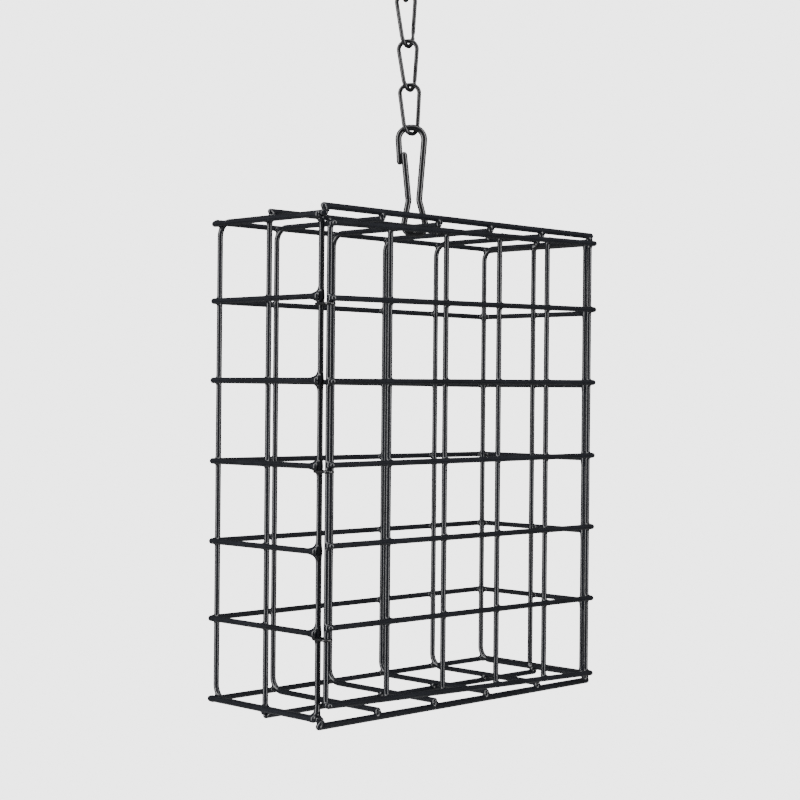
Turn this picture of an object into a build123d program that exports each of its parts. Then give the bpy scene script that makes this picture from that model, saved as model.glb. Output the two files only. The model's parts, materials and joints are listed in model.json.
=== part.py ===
from build123d import *
import math
import os

# Hanging seed-cake feeder: a coated wire cage with a hinged front, carried by a
# spring-wire clip, a short twisted-link chain and an open hanging hook.
#
# Millimetres. X is the width (positive to the right when facing the door), Y is the
# depth (the door faces -Y) and Z is up. The origin is the point inside the hook's
# bowl that rests on a branch or peg, so everything hangs below it.

# ---- driving dimensions -------------------------------------------------------------
WIRE = 2.4                 # coated mesh wire, diameter
WIRE_R = WIRE / 2
EDGE_WIRE = 2.8            # heavier wire along the front edge of the top and the floor
EDGE_R = EDGE_WIRE / 2
RUNNING_GAP = 0.3          # air between curved faces that move against each other

HALF_WIDTH = 82.3          # outermost folded wires, centre line
COLUMNS = (-82.3, -51.0, -17.8, 14.6, 48.4, 82.3)  # folded wires, left to right
BACK_Y = 33.0              # plane of the back's upright wires
FRONT_Y = -31.5            # line of the front cross wires at the top and bottom
ROWS = (66.0, 33.0, -0.6, -34.0, -66.2)  # cross wires of the back and rails of the sides
TOP_Z = 98.8               # depth wires of the top, above the middle of the cage
BOTTOM_Z = -99.9           # depth wires of the floor
FOLD_RADIUS = 6.0          # centre-line radius where the back folds into top and floor
DEPTH_END_Y = -32.7        # cut ends of the depth wires, just past the front cross wire
CROSS_OVERHANG = 2.2       # cross wires of top and floor, past the outermost wires

SIDE_TOP_Z = 98.1          # highest rail of each side
SIDE_BOTTOM_Z = -99.6      # lowest rail of each side
SIDE_BACK_OVERHANG = 2.0   # side rails past the back's uprights
SIDE_FRONT_Y = -29.5       # side's front upright
SIDE_MIDDLE_Y = 1.7        # side's middle upright

DOOR_Y = -34.3             # plane of the door's uprights
DOOR_COLUMNS = (-82.3, -49.0, -16.0, 17.4, 49.3, 79.0)
DOOR_LEFT_OVERHANG = 1.0   # rails past the hinge upright
DOOR_RIGHT_OVERHANG = 1.8  # rails past the free upright
DOOR_ROWS = (              # each rail at the hinge side and at the free side
    (94.4, 97.5), (65.1, 67.4), (32.6, 34.2), (0.0, 1.0),
    (-31.5, -31.5), (-63.4, -64.0), (-93.7, -98.2),
)

RING_WIRE = 1.2            # hinge rings pinched round the two left uprights
RING_ROWS = (1, 3, 5)      # door rails that have a ring just below them
RING_FIT = 0.1             # air between a ring and the upright that turns in it

CLIP_WIRE = 2.8
CLIP_HEAD_HALF = 5.6       # centre line of the head loop, across
CLIP_HEAD_ABOVE_FOOT = 40.8
CLIP_NECK_HALF = 2.35      # legs either side of the neck
CLIP_NECK_ABOVE_FOOT = 14.6
CLIP_FOOT_HALF = 4.6       # legs either side of the foot loop
CLIP_FOOT_BEND = 3.1
CLIP_HEAD_BEND = 5.0       # the head loop's two upper corners
CLIP_SHOULDER_BEND = 8.0  # where the head runs into the right leg
CLIP_KNEE_BEND = 3.0       # where the legs turn down into the foot loop
CLIP_HEEL_DROP = 0.4       # gate's side of the neck is this much lower
CLIP_TIP = (-5.4, 30.1)    # free end of the head, across and above the foot
CLIP_GATE_TIP = (-3.5, 35.4)
CLIP_GATE_FORWARD = 3.0    # gate's tip stands in front of the head's free end
CLIP_SWIVEL = 45.0         # the clip hangs turned this far about Z

LINK_WIRE = 1.85
LINK_HALF_WIDTH = 4.7
LINK_BEND = 3.5
LINKS = (                  # turn of the upper end, turn of the lower end, length
    (-20.0, 65.0, 23.0), (-20.0, 65.0, 21.3), (-15.0, 55.0, 21.3),
)
CHAIN_LEAN = 2.8           # degrees: chain and clip hang a little out of plumb

HOOK_WIRE = 2.6
HOOK_EYE_HALF = 3.9
HOOK_EYE_HEIGHTS = (6.5, 8.5)    # eye's cut end and its run into the shank
HOOK_SHANK_BEND = 6.0
HOOK_BOWL_HALF = 8.0
HOOK_BOWL_HEIGHTS = (15.5, 17.5)  # shank's run into the bowl and the bowl's cut end
HOOK_HEIGHT = 30.0         # centre line, eye's foot to bowl's crown
ROUND = 0.05               # keeps a bend just short of a half circle

# ---- heights, worked out from the hanging point downwards ----------------------------
hook_foot_z = HOOK_WIRE / 2 - HOOK_HEIGHT
link_top_z = [hook_foot_z + (HOOK_WIRE + LINK_WIRE) / 2 + RUNNING_GAP]
for _, _, length in LINKS[:-1]:
    link_top_z.append(link_top_z[-1] - length + LINK_WIRE + RUNNING_GAP)
last_link_foot_z = link_top_z[-1] - LINKS[-1][2]
clip_crown_z = last_link_foot_z + (LINK_WIRE + CLIP_WIRE) / 2 + RUNNING_GAP
clip_foot_z = clip_crown_z - CLIP_HEAD_ABOVE_FOOT - CLIP_HEAD_HALF
gate_pivot_z = clip_foot_z + CLIP_NECK_ABOVE_FOOT - CLIP_HEEL_DROP + CLIP_WIRE / 2 + RUNNING_GAP
hung_wire_z = clip_foot_z + (CLIP_WIRE + WIRE) / 2 + RUNNING_GAP

swivel = math.radians(CLIP_SWIVEL)
lean = math.tan(math.radians(CHAIN_LEAN))
ACROSS = Vector(math.cos(swivel), -math.sin(swivel), 0)
AWAY = Vector(math.sin(swivel), math.cos(swivel), 0)
CAGE = ACROSS * (-lean * hung_wire_z) + Vector(0, 0, hung_wire_z - WIRE - TOP_Z)  # its middle


# ---- helpers ------------------------------------------------------------------------
def straight_wire(start, end, diameter=WIRE):
    """A round wire between two points."""
    run = Vector(*end) - Vector(*start)
    return Plane(origin=start, z_dir=run) * extrude(Circle(diameter / 2), run.length)


def bent_wire(points, radii, diameter, close=False):
    """A round wire along straight runs joined by arcs."""
    path = FilletPolyline(*points, radius=radii, close=close)
    section = Plane(origin=path @ 0, z_dir=path % 0) * Circle(diameter / 2)
    return sweep(section, path=path)


def save(name, solids):
    """Write one sub-part."""
    if not isinstance(solids, (list, tuple)):
        solids = [solids]
    shape = solids[0] if len(solids) == 1 else Compound(children=list(solids))
    export_step(shape, f"parts/{name}.step")


def turned(across, away, z):
    """A point in the clip's and chain's own frame, which is turned about Z and leans."""
    return tuple(ACROSS * (across - lean * z) + AWAY * away + Vector(0, 0, z))


def in_cage(x, y, z):
    """A point given from the middle of the cage."""
    return tuple(CAGE + Vector(x, y, z))


# ---- hanging hook, chain and clip ---------------------------------------------------
def hanging_hook():
    """Closed eye at the foot, open bowl at the top, in the plane across the chain."""
    eye = HOOK_EYE_HALF
    bowl = HOOK_BOWL_HALF
    cut_up, run_up = HOOK_EYE_HEIGHTS
    shank_up, mouth_up = HOOK_BOWL_HEIGHTS
    outline = [
        (-eye, cut_up), (-eye, 0.0), (eye, 0.0), (eye, run_up),
        (bowl, shank_up), (bowl, HOOK_HEIGHT), (-bowl, HOOK_HEIGHT), (-bowl, mouth_up),
    ]
    points = [turned(0, away, hook_foot_z + up) for away, up in outline]
    radii = [eye - ROUND] * 2 + [HOOK_SHANK_BEND] * 2 + [bowl - ROUND] * 2
    return bent_wire(points, radii, HOOK_WIRE)


def chain_link(top_z, top_turn, foot_turn, length):
    """A closed link whose lower end is twisted against its upper end."""
    upper = math.radians(top_turn)
    lower = math.radians(foot_turn)
    foot_z = top_z - length
    halves = []
    for reach in (-LINK_HALF_WIDTH, LINK_HALF_WIDTH):
        points = [
            turned(0, 0, top_z),
            turned(reach * math.cos(upper), reach * math.sin(upper), top_z),
            turned(reach * math.cos(lower), reach * math.sin(lower), foot_z),
            turned(0, 0, foot_z),
        ]
        halves.append(bent_wire(points, [LINK_BEND] * 2, LINK_WIRE))
    return halves[0] + halves[1]


def snap_clip():
    """Head loop, right leg, foot loop and the short left leg that carries the gate."""
    head = CLIP_HEAD_HALF
    crown = CLIP_HEAD_ABOVE_FOOT + head
    foot = CLIP_FOOT_HALF
    neck = CLIP_NECK_ABOVE_FOOT
    outline = [
        CLIP_TIP, (-head, CLIP_HEAD_ABOVE_FOOT), (-head, crown), (head, crown),
        (head, CLIP_HEAD_ABOVE_FOOT), (CLIP_NECK_HALF, neck), (foot, foot), (foot, 0.0),
        (-foot, 0.0), (-foot, foot), (-CLIP_NECK_HALF, neck - CLIP_HEEL_DROP),
    ]
    points = [turned(across, 0, clip_foot_z + up) for across, up in outline]
    radii = [8.0, CLIP_HEAD_BEND, CLIP_HEAD_BEND, CLIP_SHOULDER_BEND, 4.0, CLIP_KNEE_BEND]
    radii += [CLIP_FOOT_BEND, CLIP_FOOT_BEND, CLIP_KNEE_BEND]
    return bent_wire(points, radii, CLIP_WIRE)


def clip_gate():
    """The springy free leg, with a round heel where it flexes against the clip."""
    heel = turned(-CLIP_NECK_HALF, 0, gate_pivot_z)
    tip = turned(CLIP_GATE_TIP[0], -CLIP_GATE_FORWARD, clip_foot_z + CLIP_GATE_TIP[1])
    heel_ball = Pos(*heel) * Sphere(CLIP_WIRE / 2)
    return straight_wire(heel, tip, CLIP_WIRE) + heel_ball


# ---- cage: folded wires that make the back, the top and the floor ---------------------
def folded_wire(x):
    """One wire: along the floor, up the back and forward along the top."""
    runs = []
    bend_y = BACK_Y - FOLD_RADIUS
    slack = FOLD_RADIUS * (1 - math.sin(math.pi / 4))
    for level, inward in ((BOTTOM_Z, 1), (TOP_Z, -1)):
        runs.append(straight_wire(in_cage(x, DEPTH_END_Y, level), in_cage(x, bend_y, level)))
        arc = ThreePointArc(
            in_cage(x, bend_y, level),
            in_cage(x, BACK_Y - slack, level + inward * slack),
            in_cage(x, BACK_Y, level + inward * FOLD_RADIUS),
        )
        section = Plane(origin=arc @ 0, z_dir=arc % 0) * Circle(WIRE_R)
        runs.append(sweep(section, path=arc))
    low = in_cage(x, BACK_Y, BOTTOM_Z + FOLD_RADIUS)
    high = in_cage(x, BACK_Y, TOP_Z - FOLD_RADIUS)
    runs.append(straight_wire(low, high))
    return runs


def cross_wire(y, z, half_length, diameter=WIRE):
    """A wire across the width of the cage."""
    return straight_wire(in_cage(-half_length, y, z), in_cage(half_length, y, z), diameter)


def back_rows():
    """Heights and depths of the cross wires welded outside the back, top to bottom."""
    corner = (FOLD_RADIUS + WIRE) * math.sin(math.pi / 4)
    corner_y = BACK_Y - FOLD_RADIUS + corner
    rows = [(corner_y, TOP_Z - FOLD_RADIUS + corner)]
    rows += [(BACK_Y + WIRE, z) for z in ROWS]
    rows.append((corner_y, BOTTOM_Z + FOLD_RADIUS - corner))
    return rows


def side_rail(side, z):
    """A rail along the outside of one side, from the front upright to past the back."""
    x = side * (HALF_WIDTH + WIRE)
    front = SIDE_FRONT_Y - WIRE_R
    return straight_wire(in_cage(x, front, z), in_cage(x, BACK_Y + SIDE_BACK_OVERHANG, z))


def side_upright(side, y):
    """A side's upright, butted between the depth wires of the floor and the top."""
    x = side * HALF_WIDTH
    return straight_wire(in_cage(x, y, BOTTOM_Z + WIRE_R), in_cage(x, y, TOP_Z - WIRE_R))


# ---- door ---------------------------------------------------------------------------
def door_height(x, heights):
    """Height of a door rail at x: the rails run slightly out of true."""
    share = (x - DOOR_COLUMNS[0]) / (DOOR_COLUMNS[-1] - DOOR_COLUMNS[0])
    return heights[0] + share * (heights[1] - heights[0])


def door_rail(heights):
    """A rail across the outside of the door."""
    left = DOOR_COLUMNS[0] - DOOR_LEFT_OVERHANG
    right = DOOR_COLUMNS[-1] + DOOR_RIGHT_OVERHANG
    y = DOOR_Y - WIRE
    return straight_wire(in_cage(left, y, heights[0]), in_cage(right, y, heights[1]))


def door_upright(x):
    """An upright that ends level with the door's top and bottom rails."""
    low = door_height(x, DOOR_ROWS[-1]) - WIRE_R
    high = door_height(x, DOOR_ROWS[0]) + WIRE_R
    return straight_wire(in_cage(x, DOOR_Y, low), in_cage(x, DOOR_Y, high))


def hinge_ring(row):
    """A flat ring pinched on the side's upright, in which the door's upright turns."""
    lower_rail = min(DOOR_ROWS[row][0], ROWS[row - 1])
    z = lower_rail - WIRE_R - RING_WIRE / 2 - RUNNING_GAP
    loop = WIRE_R + RING_FIT + RING_WIRE / 2
    left = -HALF_WIDTH - loop
    right = -HALF_WIDTH + loop
    front = DOOR_Y - loop
    rear = SIDE_FRONT_Y + loop
    corners = [(right, rear), (left, rear), (left, front), (right, front)]
    points = [in_cage(x, y, z) for x, y in corners]
    return bent_wire(points, [loop - ROUND] * 4, RING_WIRE, close=True)


# ---- build --------------------------------------------------------------------------
def save_hanging_parts():
    """Hook, links and clip."""
    save("hanging_hook", hanging_hook())
    for number, (top_z, link) in enumerate(zip(link_top_z, LINKS), 1):
        save(f"chain_link_{number}", chain_link(top_z, *link))
    save("snap_clip", snap_clip())
    save("clip_gate", clip_gate())


def save_cage():
    """Folded wires, cross wires and both sides."""
    for number, x in enumerate(COLUMNS, 1):
        save(f"folded_wire_{number}", folded_wire(x))
    cross_half = HALF_WIDTH + CROSS_OVERHANG
    save("top_middle_wire", cross_wire(0, TOP_Z + WIRE, cross_half))
    save("floor_middle_wire", cross_wire(0, BOTTOM_Z - WIRE, cross_half))
    top_edge = TOP_Z + WIRE_R + EDGE_R
    floor_edge = BOTTOM_Z - WIRE_R - EDGE_R
    save("top_front_wire", cross_wire(FRONT_Y, top_edge, cross_half, EDGE_WIRE))
    save("floor_front_wire", cross_wire(FRONT_Y, floor_edge, cross_half, EDGE_WIRE))
    for row, (y, z) in enumerate(back_rows(), 1):
        save(f"back_row_{row}", cross_wire(y, z, HALF_WIDTH + WIRE_R - ROUND))
    side_rows = (SIDE_TOP_Z, *ROWS, SIDE_BOTTOM_Z)
    for label, side in (("left", -1), ("right", 1)):
        for row, z in enumerate(side_rows, 1):
            save(f"{label}_side_rail_{row}", side_rail(side, z))
        save(f"{label}_front_upright", side_upright(side, SIDE_FRONT_Y))
        save(f"{label}_middle_upright", side_upright(side, SIDE_MIDDLE_Y))


def save_door():
    """Door rails and uprights, and the rings that hinge them to the cage."""
    for row, heights in enumerate(DOOR_ROWS, 1):
        save(f"door_rail_{row}", door_rail(heights))
    for column, x in enumerate(DOOR_COLUMNS, 1):
        save(f"door_upright_{column}", door_upright(x))
    for number, row in enumerate(RING_ROWS, 1):
        save(f"hinge_ring_{number}", hinge_ring(row))


os.makedirs("parts", exist_ok=True)
save_hanging_parts()
save_cage()
save_door()
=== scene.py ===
import json
import logging
import math
from dataclasses import dataclass, field
from enum import Enum

import bpy
import numpy as np
from mathutils import Matrix, Vector


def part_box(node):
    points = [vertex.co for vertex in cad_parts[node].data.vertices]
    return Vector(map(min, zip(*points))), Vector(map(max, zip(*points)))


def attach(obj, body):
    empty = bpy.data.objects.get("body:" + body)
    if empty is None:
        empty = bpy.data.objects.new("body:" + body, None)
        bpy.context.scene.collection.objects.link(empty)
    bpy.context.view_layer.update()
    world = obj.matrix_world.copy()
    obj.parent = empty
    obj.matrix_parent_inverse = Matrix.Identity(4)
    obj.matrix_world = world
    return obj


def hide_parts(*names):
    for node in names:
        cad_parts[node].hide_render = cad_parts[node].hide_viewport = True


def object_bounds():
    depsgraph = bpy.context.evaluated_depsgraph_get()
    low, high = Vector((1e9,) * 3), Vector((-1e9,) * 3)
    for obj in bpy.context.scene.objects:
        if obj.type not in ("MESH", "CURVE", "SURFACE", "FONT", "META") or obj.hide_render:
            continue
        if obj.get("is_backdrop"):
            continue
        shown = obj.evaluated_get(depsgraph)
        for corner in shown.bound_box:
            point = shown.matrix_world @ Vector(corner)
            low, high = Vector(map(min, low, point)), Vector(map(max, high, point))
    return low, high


LOG = logging.getLogger("seed_cake_cage")
MM = 0.001
ROUND_SIDES = 20           # faces round a wire
RING_STEP = 2.2 * MM       # ring spacing along plain wire
WELD_STEP = 0.3 * MM       # ring spacing close to a weld
WELD_REACH = 3.2 * MM      # how far the fine rings run either side of a weld
END_RINGS = 6              # rings that round off a cut end
END_TURN = 0.12            # how far round a cut end its first ring sits, in radians
RING_GAP = 0.04 * MM       # rings nearer than this become one
CLOSING_GAP = 0.05 * MM    # how far short of its first ring a closed wire's last one stops
BEND_STEP = math.radians(7.5)   # turn from ring to ring in a bend
COAT_SHARE = 0.985         # the plain coat's share of the wire's radius
COAT_WANDER = 0.005        # how much that share wanders along the wire
COAT_WAVES = (6.1, 11.3, 23.0)  # lengths of its waves over two pi, in millimetres
SEAM_DEPTH = 0.28          # how much thinner the wire is at a seam
SEAM_WIDTH = 0.28 * MM
WEB_MARGIN = 0.5 * MM      # how far beyond a web's own reach rings are looked at
WEB_LIMIT = 0.85           # the most that a web may add, as a share of the wire's radius
WEB_PASSES = 12            # steps towards the web's surface
WEB_EASE = 0.8             # how far each step goes
TOUCH_STEP = 1.0 * MM      # spacing of the spots tested for a weld
TOUCH_GAP = 0.7 * MM       # wires nearer than this are welded
CAGE_RISE = 101.2 * MM     # from the cage's middle up to the wire that the clip holds
SHEET_GLOW = 3.6           # how brightly the floor and backdrop show


class Slot(Enum):
    """The record's material slots."""

    MESH = "mesh_coating"
    DOOR = "door_coating"
    CLIP = "clip_wire"
    CHAIN = "chain_wire"


# ---- shader maths ---------------------------------------------------------------------
class Shade:
    """A shader socket that can be used in Python arithmetic."""

    def __init__(self, tree: bpy.types.NodeTree, socket: bpy.types.NodeSocket) -> None:
        """Keep the tree and the socket."""
        self.tree = tree
        self.socket = socket

    def _math(self, operation: str, first: object, second: object) -> "Shade":
        """Add a Math node.

        Args:
            operation: the node's operation.
            first: left value or socket.
            second: right value or socket.

        Returns:
            The node's result.
        """
        return add_node(self.tree, "ShaderNodeMath", {"operation": operation}, {0: first, 1: second})

    def __add__(self, other: object) -> "Shade":
        """Sum."""
        return self._math("ADD", self, other)

    __radd__ = __add__

    def __mul__(self, other: object) -> "Shade":
        """Product."""
        return self._math("MULTIPLY", self, other)

    __rmul__ = __mul__


def add_node(
    tree: bpy.types.NodeTree, kind: str, settings: dict, inputs: dict, output: int | str = 0
) -> Shade:
    """Add one node, set it up and wire its inputs.

    Args:
        tree: the node tree.
        kind: the node's type.
        settings: the node's own properties, set first; "stops" fills a colour ramp.
        inputs: socket name or number to a value, a socket or a Shade.
        output: which output to return.

    Returns:
        The chosen output.
    """
    node = tree.nodes.new(kind)
    for name, value in settings.items():
        if name == "stops":
            fill_ramp(node, value)
        else:
            setattr(node, name, value)
    for name, value in inputs.items():
        if isinstance(value, Shade):
            tree.links.new(value.socket, node.inputs[name])
        else:
            node.inputs[name].default_value = value
    return Shade(tree, node.outputs[output])


def fill_ramp(node: bpy.types.Node, stops: list[tuple[float, tuple]]) -> None:
    """Give a colour ramp its stops.

    Args:
        node: the ramp node.
        stops: positions and colours, at least two.
    """
    ramp = node.color_ramp.elements
    for number, (position, colour) in enumerate(stops):
        stop = ramp[number] if number < 2 else ramp.new(position)
        stop.position = position
        stop.color = (*colour, 1.0)


@dataclass(frozen=True)
class Coating:
    """A dark coating on steel wire."""

    name: str
    deep: tuple[float, float, float]
    thin: tuple[float, float, float]
    roughness: tuple[float, float]
    coat: float
    coat_roughness: float
    ripple: float
    ripple_scale: float
    grain_scale: float = 2600.0
    drift_scale: float = 38.0
    bump_depth: float = 0.12 * MM

    def build(self) -> bpy.types.Material:
        """Make the material.

        Returns:
            A material that reads Object coordinates.
        """
        material = bpy.data.materials.new(self.name)
        material.use_nodes = True
        tree = material.node_tree
        tree.nodes.clear()
        place = add_node(tree, "ShaderNodeTexCoord", {}, {}, "Object")
        ripple = add_node(tree, "ShaderNodeTexNoise", {}, {
            "Vector": place, "Scale": self.ripple_scale, "Detail": 3.0, "Roughness": 0.55})
        grain = add_node(tree, "ShaderNodeTexNoise", {}, {
            "Vector": place, "Scale": self.grain_scale, "Detail": 2.0, "Roughness": 0.5})
        drift = add_node(tree, "ShaderNodeTexNoise", {}, {
            "Vector": place, "Scale": self.drift_scale, "Detail": 2.0, "Roughness": 0.5})
        tone = add_node(tree, "ShaderNodeValToRGB", {
            "stops": [(0.35, self.deep), (0.68, self.thin)]}, {"Fac": drift * 0.6 + ripple * 0.4})
        low, high = self.roughness
        rough = ripple * (high - low) + low
        height = ripple * 0.96 + grain * 0.04
        bump = add_node(tree, "ShaderNodeBump", {}, {
            "Strength": self.ripple, "Distance": self.bump_depth, "Height": height})
        shader = add_node(tree, "ShaderNodeBsdfPrincipled", {}, {
            "Base Color": tone, "Roughness": rough, "Normal": bump, "IOR": 1.5,
            "Coat Weight": self.coat, "Coat Roughness": self.coat_roughness})
        add_surface(tree, shader)
        return material


def add_surface(tree: bpy.types.NodeTree, shader: Shade) -> None:
    """Send a shader to the material's output."""
    output = tree.nodes.new("ShaderNodeOutputMaterial")
    tree.links.new(shader.socket, output.inputs["Surface"])


# ---- wires ------------------------------------------------------------------------------
@dataclass
class Wire:
    """One coated wire: its centre line, its thickness and what it is welded to."""

    node: str
    body: str
    line: np.ndarray
    radius: float
    closed: bool = False
    seam: float | None = None
    welds: list[tuple["Wire", float]] = field(default_factory=list)

    def length_along(self) -> np.ndarray:
        """Distance along the centre line at each of its points."""
        steps = np.linalg.norm(np.diff(self.line, axis=0), axis=1)
        return np.concatenate([[0.0], np.cumsum(steps)])

    def distance(self, points: np.ndarray) -> np.ndarray:
        """How far points are outside this wire's surface.

        Args:
            points: an array of points.

        Returns:
            Signed distances, negative inside.
        """
        best = np.full(len(points), np.inf)
        for start, end in zip(self.line[:-1], self.line[1:]):
            run = end - start
            share = np.clip((points - start) @ run / max(run @ run, 1e-18), 0.0, 1.0)
            gap = np.linalg.norm(points - start - share[:, None] * run, axis=1)
            best = np.minimum(best, gap)
        return best - self.radius


def straight(node: str, body: str) -> Wire:
    """A straight wire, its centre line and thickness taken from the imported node.

    Args:
        node: the node's name.
        body: the body it belongs to.

    Returns:
        The wire.
    """
    mesh = FRAME["nodes"][node].data
    points = np.array([vertex.co for vertex in mesh.vertices])
    middle = (points.min(axis=0) + points.max(axis=0)) / 2
    axis = np.linalg.svd(points - points.mean(axis=0), full_matrices=False)[2][0]
    reach = (points - middle) @ axis
    radius = np.linalg.norm(points - middle - reach[:, None] * axis, axis=1).max()
    line = np.array([middle + axis * reach.min(), middle + axis * reach.max()])
    return Wire(node, body, line, float(radius))


def rounded_line(corners: list[tuple], radii: list[float], closed: bool = False) -> np.ndarray:
    """A centre line of straight runs joined by arcs.

    Args:
        corners: corner points.
        radii: one bend radius for each inner corner, or for each corner when closed.
        closed: whether the line closes on itself.

    Returns:
        The line's points.
    """
    points = [np.array(corner, float) for corner in corners]
    count = len(points)
    line = [] if closed else [points[0]]
    turns = range(count) if closed else range(1, count - 1)
    for turn, radius in zip(turns, radii):
        corner = points[turn]
        back = points[turn - 1] - corner
        ahead = points[(turn + 1) % count] - corner
        back = back / np.linalg.norm(back)
        ahead = ahead / np.linalg.norm(ahead)
        half = math.acos(float(np.clip(back @ ahead, -1, 1))) / 2
        bisector = (back + ahead) / np.linalg.norm(back + ahead)
        centre = corner + bisector * radius / math.sin(half)
        first = corner + back * radius / math.tan(half) - centre
        last = corner + ahead * radius / math.tan(half) - centre
        sweep = math.pi - 2 * half
        steps = max(2, math.ceil(sweep / BEND_STEP))
        for step in range(steps + 1):
            share = step / steps
            weight_first = math.sin((1 - share) * sweep) / math.sin(sweep)
            weight_last = math.sin(share * sweep) / math.sin(sweep)
            line.append(centre + weight_first * first + weight_last * last)
    if not closed:
        line.append(points[-1])
    return np.array(line)


class TubeMaker:
    """Turns a centre line into a coated wire with Geometry Nodes."""

    def __init__(self) -> None:
        """Build the node group once."""
        self.group = self._group()

    @staticmethod
    def _group() -> bpy.types.NodeTree:
        """The node group: path mesh in, tube mesh out.

        Returns:
            The group, with Sides and Coating as named inputs.
        """
        group = bpy.data.node_groups.new("coated_wire", "GeometryNodeTree")
        face = group.interface
        face.new_socket("Geometry", in_out="INPUT", socket_type="NodeSocketGeometry")
        face.new_socket("Sides", in_out="INPUT", socket_type="NodeSocketInt")
        face.new_socket("Coating", in_out="INPUT", socket_type="NodeSocketMaterial")
        face.new_socket("Geometry", in_out="OUTPUT", socket_type="NodeSocketGeometry")
        nodes, links = group.nodes, group.links
        source = nodes.new("NodeGroupInput")
        to_curve = nodes.new("GeometryNodeMeshToCurve")
        radius = nodes.new("GeometryNodeInputNamedAttribute")
        radius.data_type = "FLOAT"
        radius.inputs["Name"].default_value = "wire_radius"
        set_radius = nodes.new("GeometryNodeSetCurveRadius")
        profile = nodes.new("GeometryNodeCurvePrimitiveCircle")
        profile.inputs["Radius"].default_value = 1.0
        tube = nodes.new("GeometryNodeCurveToMesh")
        tube.inputs["Fill Caps"].default_value = True
        smooth = nodes.new("GeometryNodeSetShadeSmooth")
        realize = nodes.new("GeometryNodeRealizeInstances")
        coating = nodes.new("GeometryNodeSetMaterial")
        result = nodes.new("NodeGroupOutput")
        links.new(source.outputs["Geometry"], to_curve.inputs["Mesh"])
        links.new(to_curve.outputs["Curve"], set_radius.inputs["Curve"])
        links.new(radius.outputs["Attribute"], set_radius.inputs["Radius"])
        links.new(set_radius.outputs["Curve"], tube.inputs["Curve"])
        if "Scale" in tube.inputs:
            links.new(radius.outputs["Attribute"], tube.inputs["Scale"])
        links.new(source.outputs["Sides"], profile.inputs["Resolution"])
        links.new(profile.outputs["Curve"], tube.inputs["Profile Curve"])
        links.new(tube.outputs["Mesh"], smooth.inputs["Geometry"])
        links.new(smooth.outputs["Geometry"], realize.inputs["Geometry"])
        links.new(realize.outputs["Geometry"], coating.inputs["Geometry"])
        links.new(source.outputs["Coating"], coating.inputs["Material"])
        links.new(coating.outputs["Geometry"], result.inputs["Geometry"])
        return group

    def tube(
        self, name: str, points: np.ndarray, radii: np.ndarray, closed: bool,
        material: bpy.types.Material,
    ) -> bpy.types.Object:
        """Make one plain tube.

        Args:
            name: the piece's name.
            points: its centre line.
            radii: its radius at each point.
            closed: whether the line closes on itself.
            material: its coating.

        Returns:
            A mesh object at the origin, rings in order along the wire.
        """
        edges = [(number, number + 1) for number in range(len(points) - 1)]
        if closed:
            edges.append((len(points) - 1, 0))
        path = bpy.data.meshes.new(name + "_path")
        path.from_pydata([tuple(point) for point in points], edges, [])
        path.attributes.new("wire_radius", "FLOAT", "POINT").data.foreach_set("value", radii)
        piece = bpy.data.objects.new(name, path)
        bpy.context.scene.collection.objects.link(piece)
        modifier = piece.modifiers.new("coated_wire", "NODES")
        modifier.node_group = self.group
        sockets = {item.name: item.identifier for item in self.group.interface.items_tree
                   if item.in_out == "INPUT"}
        modifier[sockets["Sides"]] = ROUND_SIDES
        modifier[sockets["Coating"]] = material
        depsgraph = bpy.context.evaluated_depsgraph_get()
        mesh = bpy.data.meshes.new_from_object(piece.evaluated_get(depsgraph))
        piece.modifiers.remove(modifier)
        piece.data = mesh
        mesh.name = name
        bpy.data.meshes.remove(path)
        return piece


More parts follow.
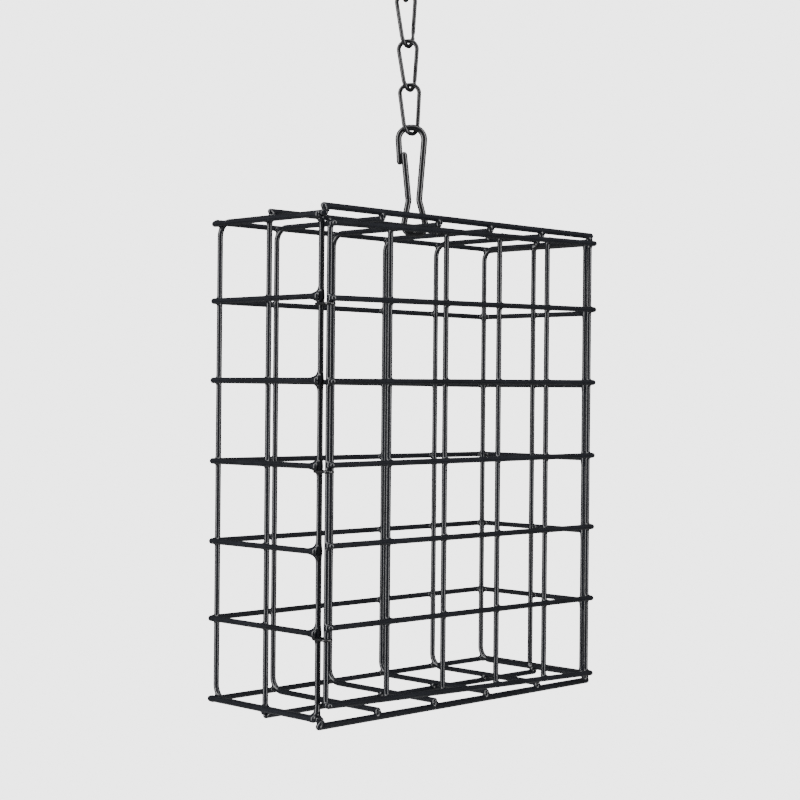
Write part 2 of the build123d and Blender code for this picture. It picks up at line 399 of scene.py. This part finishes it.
class Coater:
    """Gives each wire its rounded ends, its uneven coat and the webs at its welds."""

    def __init__(self, seed: int) -> None:
        """Keep a tube maker, the CAD box and a fixed source of unevenness.

        Args:
            seed: start of the unevenness, so that each run gives the same coat.
        """
        self.tubes = TubeMaker()
        self.random = np.random.default_rng(seed)
        low, high = CAD_BOX
        self.low, self.high = np.array(low), np.array(high)

    def stations(self, wire: Wire) -> np.ndarray:
        """Distances along a wire at which it gets a ring.

        Args:
            wire: the wire.

        Returns:
            Sorted distances, finer at welds, bends and ends.
        """
        along = wire.length_along()
        total = along[-1]
        marks = [np.linspace(0, total, max(2, math.ceil(total / RING_STEP)) + 1), along]
        fine = np.arange(0, total, WELD_STEP)
        spots = np.array([np.interp(fine, along, wire.line[:, axis]) for axis in range(3)]).T
        for other, _ in wire.welds:
            close = other.distance(spots) < wire.radius + WELD_REACH
            marks.append(fine[close])
        if not wire.closed:
            turns = np.linspace(END_TURN, math.pi / 2, END_RINGS)
            cap = wire.radius * (1 - np.cos(turns))
            inner = [mark[(mark > wire.radius) & (mark < total - wire.radius)] for mark in marks]
            marks = inner + [cap, total - cap]
        marks = np.unique(np.round(np.concatenate(marks), 7))
        keep = np.concatenate([[True], np.diff(marks) > RING_GAP])
        marks = marks[keep]
        return marks[marks < total - CLOSING_GAP] if wire.closed else marks

    def profile(self, wire: Wire, marks: np.ndarray) -> np.ndarray:
        """Radius of the coat at each ring.

        Args:
            wire: the wire.
            marks: distances along it.

        Returns:
            Radii, rounded off at cut ends.
        """
        total = wire.length_along()[-1]
        waves = self.random.uniform(0, 2 * math.pi, len(COAT_WAVES))
        uneven = sum(np.sin(marks / pitch / MM + wave) for pitch, wave in zip(COAT_WAVES, waves))
        radii = wire.radius * (COAT_SHARE + COAT_WANDER * uneven)
        if wire.seam is not None:
            radii *= 1 - SEAM_DEPTH * np.exp(-(((marks - wire.seam * total) / SEAM_WIDTH) ** 2))
        if not wire.closed:
            edge = np.minimum(marks, total - marks)
            inside = np.clip(1 - edge / wire.radius, 0, 1)
            radii *= np.sqrt(np.clip(1 - inside ** 2, 1e-4, 1))
        return radii

    def coat(self, wire: Wire, material: bpy.types.Material) -> bpy.types.Object:
        """Make the finished piece for one wire.

        Args:
            wire: the wire.
            material: its coating.

        Returns:
            The piece.
        """
        marks = self.stations(wire)
        along = wire.length_along()
        line = np.array([np.interp(marks, along, wire.line[:, axis]) for axis in range(3)]).T
        radii = self.profile(wire, marks)
        piece = self.tubes.tube("coated_" + wire.node, line, radii, wire.closed, material)
        mesh = piece.data
        points = np.empty(len(mesh.vertices) * 3)
        mesh.vertices.foreach_get("co", points)
        rings = points.reshape(-1, ROUND_SIDES, 3)
        middles = rings.mean(axis=1, keepdims=True)
        spokes = rings - middles
        reach = np.linalg.norm(spokes, axis=2)
        spokes = spokes / np.maximum(reach, 1e-9)[..., None]
        shaped = middles + spokes * self.web(wire, middles, spokes, reach)[..., None]
        shaped = np.clip(shaped.reshape(-1, 3), self.low, self.high)
        mesh.vertices.foreach_set("co", shaped.ravel())
        mesh.update()
        return piece

    @staticmethod
    def web(wire: Wire, middles: np.ndarray, spokes: np.ndarray, reach: np.ndarray) -> np.ndarray:
        """Let the coat swell into a smooth web where the wire touches another.

        Args:
            wire: the wire.
            middles: centre of each ring.
            spokes: unit directions from the centres.
            reach: plain radius at each point.

        Returns:
            The coat's radius at each point.
        """
        coat = reach.copy()
        limit = reach + WEB_LIMIT * wire.radius
        for other, bridge in wire.welds:
            near = other.distance(middles.reshape(-1, 3)) < wire.radius + bridge + WEB_MARGIN
            if not near.any():
                continue
            grown = coat[near]
            for _ in range(WEB_PASSES):
                points = middles[near] + spokes[near] * grown[..., None]
                own = grown - reach[near]
                gap = other.distance(points.reshape(-1, 3)).reshape(own.shape)
                blend = np.maximum(bridge - np.abs(own - gap), 0) / bridge
                surface = np.minimum(own, gap) - blend ** 2 * bridge / 4
                grown = np.clip(grown - WEB_EASE * surface, reach[near], limit[near])
            coat[near] = np.maximum(coat[near], grown)
        return coat


def weld(wires: list[Wire], web: float) -> None:
    """Note every pair of wires that touch, for their webs.

    Args:
        wires: the wires of one welded assembly.
        web: how far the coat bridges at a crossing.
    """
    for first in wires:
        along = first.length_along()
        fine = np.arange(0, along[-1], TOUCH_STEP)
        spots = np.array([np.interp(fine, along, first.line[:, axis]) for axis in range(3)]).T
        for second in wires:
            if second is first:
                continue
            if (second.distance(spots) < first.radius + TOUCH_GAP).any():
                first.welds.append((second, web))


# ---- the object's assemblies ------------------------------------------------------------
@dataclass
class Cage:
    """Welded cage: folded wires, cross wires and both sides."""

    fold_radius: float = 6.0 * MM
    wire_radius: float = 1.2 * MM
    crossing_web: float = 1.6 * MM
    corner_web: float = 3.8 * MM

    def wires(self) -> list[Wire]:
        """Centre lines of every wire, with their welds.

        Returns:
            The cage's wires.
        """
        made = []
        for node in FRAME["record"]["behaviour"]["bodies"]["cage"]:
            if node.startswith("folded_wire"):
                made.append(self.folded(node))
            elif not node.startswith("hinge_ring"):
                made.append(straight(node, "cage"))
        weld(made, self.crossing_web)
        for wire in made:
            wire.welds = [(other, self.corner_web if self.is_corner(wire, other) else web)
                          for other, web in wire.welds]
        return made

    @staticmethod
    def is_corner(wire: Wire, other: Wire) -> bool:
        """Whether two wires meet where a side rail ends on a front upright."""
        names = wire.node + other.node
        return "side_rail" in names and "front_upright" in names

    def folded(self, node: str) -> Wire:
        """A wire that runs along the floor, up the back and along the top.

        Args:
            node: the node's name.

        Returns:
            The wire.
        """
        low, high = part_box(node)
        x = (low.x + high.x) / 2
        floor = low.z + self.wire_radius
        top = high.z - self.wire_radius
        back = high.y - self.wire_radius
        corners = [(x, low.y, floor), (x, back, floor), (x, back, top), (x, low.y, top)]
        line = rounded_line(corners, [self.fold_radius] * 2)
        return Wire(node, "cage", line, self.wire_radius)


@dataclass
class Door:
    """Front panel of rails and uprights."""

    crossing_web: float = 1.6 * MM

    def wires(self) -> list[Wire]:
        """Centre lines of the door's wires, with their welds."""
        made = [straight(node, "door") for node in FRAME["record"]["behaviour"]["bodies"]["door"]]
        weld(made, self.crossing_web)
        return made


@dataclass
class HingeRings:
    """Rings pinched round the cage's and the door's left uprights."""

    ring_radius: float = 0.6 * MM
    roundness: float = 0.98    # bend radius as a share of half the ring's width
    seam: float = 0.62         # how far round the ring its ends meet

    def wires(self) -> list[Wire]:
        """Closed centre lines of the rings.

        Returns:
            The rings.
        """
        made = []
        for node in FRAME["record"]["behaviour"]["bodies"]["cage"]:
            if not node.startswith("hinge_ring"):
                continue
            low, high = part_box(node)
            left, right = low.x + self.ring_radius, high.x - self.ring_radius
            front, rear = low.y + self.ring_radius, high.y - self.ring_radius
            z = (low.z + high.z) / 2
            bend = (right - left) / 2 * self.roundness
            corners = [(right, rear, z), (left, rear, z), (left, front, z), (right, front, z)]
            line = close_line(rounded_line(corners, [bend] * 4, closed=True))
            made.append(Wire(node, "cage", line, self.ring_radius, closed=True, seam=self.seam))
        return made


def close_line(line: np.ndarray) -> np.ndarray:
    """A closed line with its first point repeated at the end."""
    return np.vstack([line, line[:1]])


@dataclass
class Hangings:
    """Hook, chain and snap clip, turned about Z against the cage and leaning a little."""

    swivel: float = math.radians(45.0)
    lean: float = math.tan(math.radians(2.8))
    hook_radius: float = 1.3 * MM
    hook_eye: float = 3.9 * MM           # half the eye's width
    hook_eye_end: float = 6.5 * MM       # how high the eye's cut end stands
    hook_shank_low: float = 8.5 * MM     # where the shank starts to lean out
    hook_shank_high: float = 15.5 * MM   # where it stands straight again
    hook_shank_bend: float = 6.0 * MM
    hook_bowl: float = 8.0 * MM          # half the bowl's width
    hook_height: float = 30.0 * MM
    hook_tip_up: float = 17.5 * MM       # how high the bowl's free end stands
    eye_roundness: float = 0.985
    bowl_roundness: float = 0.99
    link_radius: float = 0.925 * MM
    link_half: float = 4.7 * MM          # half a link's width
    link_bend: float = 3.5 * MM
    link_seam: float = 0.74              # how far round a link its ends meet
    link_turns: tuple[tuple[float, float], ...] = ((-20.0, 65.0), (-20.0, 65.0), (-15.0, 55.0))
    clip_radius: float = 1.4 * MM
    clip_head: float = 5.6 * MM          # half the head loop's width
    clip_head_up: float = 40.8 * MM
    clip_tip: tuple[float, float] = (-5.4 * MM, 30.1 * MM)
    tip_bend: float = 8.0 * MM
    head_bend: float = 5.0 * MM
    shoulder_bend: float = 8.0 * MM
    neck_bend: float = 4.0 * MM
    knee_bend: float = 3.0 * MM
    foot_bend: float = 3.1 * MM
    heel_bend: float = 1.6 * MM
    clip_neck: float = 2.35 * MM         # half the width between the legs at the neck
    clip_neck_up: float = 14.6 * MM
    clip_foot: float = 4.6 * MM          # half the foot loop's width
    heel_drop: float = 0.4 * MM          # how much lower the left neck is
    heel_lean: float = 0.06 * MM
    heel_stub: float = 1.9               # length of the heel's stub, in wire radii
    gate_gap: float = 0.3 * MM
    gate_seat: float = 0.98              # how far below its pivot the gate starts, in wire radii
    gate_tip: tuple[float, float] = (-3.5 * MM, 35.4 * MM)
    gate_forward: float = 3.0 * MM

    def at(self, across: float, away: float, z: float) -> tuple[float, float, float]:
        """A point in the turned and leaning frame.

        Args:
            across: distance along the clip's width.
            away: distance square to it.
            z: height.

        Returns:
            The point's coordinates.
        """
        cosine, sine = math.cos(self.swivel), math.sin(self.swivel)
        across -= self.lean * z
        return (across * cosine + away * sine, -across * sine + away * cosine, z)

    def hook(self) -> Wire:
        """Closed eye below, open bowl above.

        Returns:
            The hook's wire.
        """
        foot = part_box("hanging_hook")[0].z + self.hook_radius
        eye, bowl, height = self.hook_eye, self.hook_bowl, self.hook_height
        outline = [(-eye, self.hook_eye_end), (-eye, 0), (eye, 0), (eye, self.hook_shank_low),
                   (bowl, self.hook_shank_high), (bowl, height), (-bowl, height),
                   (-bowl, self.hook_tip_up)]
        corners = [self.at(0, away, foot + up) for away, up in outline]
        eye_bend, bowl_bend = eye * self.eye_roundness, bowl * self.bowl_roundness
        bends = [eye_bend, eye_bend, self.hook_shank_bend, self.hook_shank_bend, bowl_bend, bowl_bend]
        return Wire("hanging_hook", "hook", rounded_line(corners, bends), self.hook_radius)

    def link(self, number: int) -> Wire:
        """One twisted link, with the seam where its wire's ends meet.

        Args:
            number: the link's number, from the top.

        Returns:
            The link's wire.
        """
        node = f"chain_link_{number}"
        low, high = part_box(node)
        levels = (high.z - self.link_radius, low.z + self.link_radius)
        ends = []
        for turn, z, side in zip(self.link_turns[number - 1], levels, (1, -1)):
            across = side * self.link_half * math.cos(math.radians(turn))
            away = side * self.link_half * math.sin(math.radians(turn))
            ends += [(across, away, z), (-across, -away, z)]
        corners = [self.at(*end) for end in ends]
        line = close_line(rounded_line(corners, [self.link_bend] * 4, closed=True))
        return Wire(node, f"link_{number}", line, self.link_radius, closed=True, seam=self.link_seam)

    def clip(self) -> Wire:
        """Head loop, right leg, foot loop and the heel of the gate.

        Returns:
            The clip's wire.
        """
        foot_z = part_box("snap_clip")[0].z + self.clip_radius
        head, up, foot, neck = self.clip_head, self.clip_head_up, self.clip_foot, self.clip_neck
        crown = up + head
        heel = self.clip_neck_up - self.heel_drop
        outline = [self.clip_tip, (-head, up), (-head, crown), (head, crown), (head, up),
                   (neck, self.clip_neck_up), (foot, foot), (foot, 0), (-foot, 0), (-foot, foot),
                   (-neck, heel), (-neck - self.heel_lean, heel + self.clip_radius * self.heel_stub)]
        corners = [self.at(across, 0, foot_z + rise) for across, rise in outline]
        bends = [self.tip_bend, self.head_bend, self.head_bend, self.shoulder_bend, self.neck_bend,
                 self.knee_bend, self.foot_bend, self.foot_bend, self.knee_bend, self.heel_bend]
        return Wire("snap_clip", "clip", rounded_line(corners, bends), self.clip_radius)

    def gate(self) -> Wire:
        """The free leg, from its heel to the tip in front of the head's end.

        Returns:
            The gate's wire.
        """
        foot_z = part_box("snap_clip")[0].z + self.clip_radius
        pivot = self.clip_neck_up - self.heel_drop + self.clip_radius + self.gate_gap
        heel = self.at(-self.clip_neck, 0, foot_z + pivot - self.clip_radius * self.gate_seat)
        across, up = self.gate_tip
        tip = self.at(across, -self.gate_forward, foot_z + up)
        return Wire("clip_gate", "gate", np.array([heel, tip]), self.clip_radius)

    def wires(self) -> list[tuple[Wire, Slot]]:
        """Every piece of the hanging, with its slot.

        Returns:
            Wires and their slots.
        """
        made = [(self.hook(), Slot.CHAIN)]
        made += [(self.link(number), Slot.CHAIN) for number in range(1, len(self.link_turns) + 1)]
        made += [(self.clip(), Slot.CLIP), (self.gate(), Slot.CLIP)]
        return made


# ---- studio -----------------------------------------------------------------------------
@dataclass(frozen=True)
class Lamp:
    """One soft lamp, placed from the cage's middle."""

    name: str
    ahead: float
    side: float
    up: float
    size: tuple[float, float]
    power: float

    def hang(self, middle: Vector, ahead: Vector, level: Vector) -> None:
        """Add the lamp to the scene, facing the cage.

        Args:
            middle: the cage's middle.
            ahead: the camera's level heading.
            level: the direction to the camera's right.
        """
        data = bpy.data.lights.new(self.name, "AREA")
        data.shape = "RECTANGLE"
        data.size, data.size_y = self.size
        data.energy = self.power
        place = middle + ahead * self.ahead + level * self.side + Vector((0, 0, 1)) * self.up
        lamp = bpy.data.objects.new(self.name, data)
        lamp.location = place
        lamp.rotation_euler = (middle - place).to_track_quat("-Z", "Y").to_euler()
        bpy.context.scene.collection.objects.link(lamp)


@dataclass(frozen=True)
class Studio:
    """Camera, lamps and the pale floor that sweeps up into a backdrop."""

    yaw: float = math.radians(45.22)
    pitch: float = math.radians(-0.13)
    roll: float = math.radians(0.54)
    offset: tuple[float, float, float] = (-0.53934, -0.52709, 0.02716)
    lens: float = 77.49
    sensor: float = 36.0
    nearest: float = 0.01
    floor_drop: float = 0.62
    floor_near: float = -4.0
    floor_far: float = 2.6
    sweep_radius: float = 1.0
    sweep_steps: int = 12
    sweep_start: float = 0.1         # turn of the sweep's first step, in radians
    backdrop_height: float = 5.0
    half_width: float = 6.0
    surround: float = 0.16
    lamps: tuple[Lamp, ...] = (
        Lamp("lamp_left", -0.55, -0.95, 0.2, (0.5, 1.8), 22.0),
        Lamp("lamp_right", -0.6, 0.9, 0.2, (0.4, 1.8), 17.0),
        Lamp("lamp_top", -0.45, 0.0, 1.1, (1.6, 0.3), 9.0),
    )

    def heading(self) -> tuple[Vector, Vector]:
        """Level directions ahead of the camera and to its right."""
        return (Vector((math.sin(self.yaw), math.cos(self.yaw), 0)),
                Vector((math.cos(self.yaw), -math.sin(self.yaw), 0)))

    def camera(self, middle: Vector) -> None:
        """Place the camera level with the cage, off its left front corner.

        Args:
            middle: the cage's middle.
        """
        ahead = Vector((math.sin(self.yaw) * math.cos(self.pitch),
                        math.cos(self.yaw) * math.cos(self.pitch), math.sin(self.pitch)))
        level = self.heading()[1]
        up = level.cross(ahead)
        right = level * math.cos(self.roll) + up * math.sin(self.roll)
        over = up * math.cos(self.roll) - level * math.sin(self.roll)
        data = bpy.data.cameras.new("camera")
        data.lens = self.lens
        data.sensor_width = self.sensor
        data.clip_start = self.nearest
        camera = bpy.data.objects.new("camera", data)
        turn = Matrix((right, over, -ahead)).transposed().to_4x4()
        camera.matrix_world = Matrix.Translation(middle + Vector(self.offset)) @ turn
        bpy.context.scene.collection.objects.link(camera)
        bpy.context.scene.camera = camera

    def sweep(self, middle: Vector) -> None:
        """A floor and a backdrop in one sheet.

        Args:
            middle: the cage's middle.
        """
        floor = middle.z - self.floor_drop
        rise = [(self.floor_near, 0.0), (self.floor_far, 0.0)]
        for turn in np.linspace(self.sweep_start, math.pi / 2, self.sweep_steps):
            rise.append((self.floor_far + self.sweep_radius * math.sin(turn),
                         self.sweep_radius * (1 - math.cos(turn))))
        rise.append((self.floor_far + self.sweep_radius, self.backdrop_height))
        ahead, level = self.heading()
        points = [tuple(ahead * out + level * side + Vector((0, 0, floor + height)))
                  for out, height in rise for side in (-self.half_width, self.half_width)]
        faces = [(2 * row, 2 * row + 1, 2 * row + 3, 2 * row + 2) for row in range(len(rise) - 1)]
        mesh = bpy.data.meshes.new("studio_sweep")
        mesh.from_pydata(points, [], faces)
        mesh.shade_smooth()
        mesh.materials.append(pale_sheet())
        sheet = bpy.data.objects.new("studio_sweep", mesh)
        bpy.context.scene.collection.objects.link(sheet)
        sheet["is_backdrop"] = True

    def light(self, middle: Vector) -> None:
        """Two tall lamps in front, one above, and a dim surround.

        Args:
            middle: the cage's middle.
        """
        for lamp in self.lamps:
            lamp.hang(middle, *self.heading())
        world = bpy.data.worlds.new("surround")
        bpy.context.scene.world = world
        world.use_nodes = True
        background = world.node_tree.nodes["Background"].inputs
        background["Color"].default_value = (1, 1, 1, 1)
        background["Strength"].default_value = self.surround


def pale_sheet() -> bpy.types.Material:
    """A sheet that shows an even pale glow, and is dull grey to the light that falls on the wires.

    Returns:
        The material.
    """
    material = bpy.data.materials.new("pale_sheet")
    material.use_nodes = True
    tree = material.node_tree
    tree.nodes.clear()
    paper = add_node(tree, "ShaderNodeBsdfPrincipled", {}, {
        "Base Color": (0.3, 0.3, 0.3, 1), "Roughness": 0.9})
    glow = add_node(tree, "ShaderNodeEmission", {}, {"Color": (1, 1, 1, 1), "Strength": SHEET_GLOW})
    seen = add_node(tree, "ShaderNodeLightPath", {}, {}, "Is Camera Ray")
    add_surface(tree, add_node(tree, "ShaderNodeMixShader", {}, {0: seen, 1: paper, 2: glow}))
    return material


def vinyl(name: str) -> Coating:
    """The welded mesh's vinyl coat."""
    return Coating(name, deep=(0.0035, 0.0042, 0.0065), thin=(0.009, 0.0105, 0.015), roughness=(0.2, 0.3),
                   coat=0.3, coat_roughness=0.07, ripple=0.06, ripple_scale=240.0)


FINISHES = {
    Slot.MESH: vinyl("mesh_vinyl"),
    Slot.DOOR: vinyl("door_vinyl"),
    Slot.CLIP: Coating(
        "clip_lacquer", deep=(0.004, 0.0042, 0.005), thin=(0.01, 0.0105, 0.012), roughness=(0.14, 0.24),
        coat=0.45, coat_roughness=0.05, ripple=0.07, ripple_scale=520.0),
    Slot.CHAIN: Coating(
        "chain_lacquer", deep=(0.004, 0.0042, 0.005), thin=(0.011, 0.0112, 0.013), roughness=(0.2, 0.34),
        coat=0.3, coat_roughness=0.1, ripple=0.1, ripple_scale=620.0),
}


def main() -> None:
    """Build the studio and every piece, and report each one."""
    low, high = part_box("top_middle_wire")
    middle = Vector(((low.x + high.x) / 2, (low.y + high.y) / 2, (low.z + high.z) / 2 - CAGE_RISE))
    studio = Studio()
    studio.camera(middle)
    studio.sweep(middle)
    studio.light(middle)
    materials = {slot: finish.build() for slot, finish in FINISHES.items()}
    coater = Coater(seed=11)
    jobs = [(wire, Slot.MESH) for wire in Cage().wires()]
    jobs += [(wire, Slot.CHAIN) for wire in HingeRings().wires()]
    jobs += [(wire, Slot.DOOR) for wire in Door().wires()]
    jobs += Hangings().wires()
    for wire, slot in jobs:
        piece = coater.coat(wire, materials[slot])
        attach(piece, wire.body)
        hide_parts(wire.node)
        LOG.info("%s: %d faces on %s", piece.name, len(piece.data.polygons), wire.body)


logging.basicConfig(level=logging.INFO, format="%(message)s")
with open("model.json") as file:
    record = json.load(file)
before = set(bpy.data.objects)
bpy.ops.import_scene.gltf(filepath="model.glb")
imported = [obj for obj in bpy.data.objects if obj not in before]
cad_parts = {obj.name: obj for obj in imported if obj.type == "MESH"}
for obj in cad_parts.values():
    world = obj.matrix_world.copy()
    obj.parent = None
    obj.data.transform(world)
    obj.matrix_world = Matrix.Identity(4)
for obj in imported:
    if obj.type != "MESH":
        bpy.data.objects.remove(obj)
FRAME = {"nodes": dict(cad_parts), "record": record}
CAD_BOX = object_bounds()

if __name__ == "__main__":
    main()
